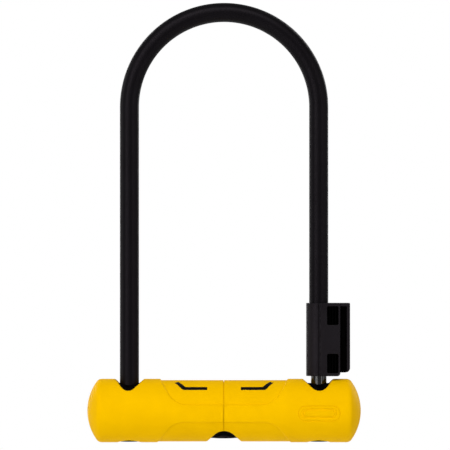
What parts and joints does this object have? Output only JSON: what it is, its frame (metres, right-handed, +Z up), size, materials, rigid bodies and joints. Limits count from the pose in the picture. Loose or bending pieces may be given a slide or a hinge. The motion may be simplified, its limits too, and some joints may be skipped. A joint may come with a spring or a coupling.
{
  "type": "u lock",
  "caption": "Bicycle U lock: a coated bent shackle with a bracket adapter on one leg, held at both ends in a round crossbar with a plastic cover and a keyway below.",
  "frame": {"origin": "at the lowest point of the crossbar, under its middle; the crossbar lies along X and the shackle stands straight up", "axes": "+Z up along the shackle's legs, +X towards the leg with the adapter, -Y is the front"},
  "size_m": [0.1756, 0.0406, 0.282],
  "materials": {
    "yellow_plastic": "smooth satin plastic",
    "black_plastic": "fine matte texture",
    "gloss_black_plastic": "gloss",
    "vinyl_coat": "satin soft vinyl",
    "black_rubber": "matt",
    "blackened_steel": "glossy black coating on steel",
    "hardened_steel": "turned steel",
    "zinc_steel": "zinc plated",
    "brass": "turned brass"
  },
  "bodies": {
    "shackle": {"shackle_bar": "blackened_steel", "coating": "vinyl_coat", "adapter_front": "black_plastic", "adapter_back": "black_plastic", "adapter_rail": "black_plastic", "adapter_grip": "black_rubber", "adapter_screws": "zinc_steel"},
    "crossbar": {"steel_tube": "hardened_steel", "liner_sleeve": "black_plastic", "left_cover": "yellow_plastic", "right_cover": "yellow_plastic", "accent_inlays": "gloss_black_plastic", "badge": "yellow_plastic", "left_end_plug": "hardened_steel", "right_end_plug": "hardened_steel", "end_roll_pins": "zinc_steel", "left_bush": "black_plastic", "right_bush": "black_plastic", "left_base_plug": "black_plastic", "right_base_plug": "black_plastic", "cylinder_housing": "brass", "keyway_bezel": "black_plastic", "housing_ring": "zinc_steel", "cylinder_pin": "zinc_steel", "left_bolt_guide": "hardened_steel", "right_bolt_guide": "hardened_steel"},
    "key_rotor": {"rotor": "brass", "lock_discs": "brass", "disc_spacers": "zinc_steel", "sidebar": "zinc_steel", "cam": "zinc_steel"},
    "left_bolt_body": {"left_bolt": "hardened_steel"},
    "right_bolt_body": {"right_bolt": "hardened_steel"}
  },
  "joints": [
    {"name": "key_turn", "type": "hinge", "parent": "crossbar", "child": "key_rotor", "pos_m": [0, 0, 0.02035], "axis": [0, 0, 1], "range_deg": [0, 90]},
    {"name": "left_bolt_slide", "type": "slide", "parent": "crossbar", "child": "left_bolt_body", "axis": [-1, 0, 0], "range_m": [0, 0.00565]},
    {"name": "right_bolt_slide", "type": "slide", "parent": "crossbar", "child": "right_bolt_body", "axis": [1, 0, 0], "range_m": [0, 0.0057]},
    {"name": "crossbar_pull", "type": "slide", "parent": "shackle", "child": "crossbar", "axis": [0, 0, -1], "range_m": [0, 0.06]}
  ],
  "couplings": [
    {"joint": "key_turn", "follows": "left_bolt_slide", "rad_per_m": 277.68},
    {"joint": "right_bolt_slide", "follows": "left_bolt_slide", "ratio": 1}
  ]
}
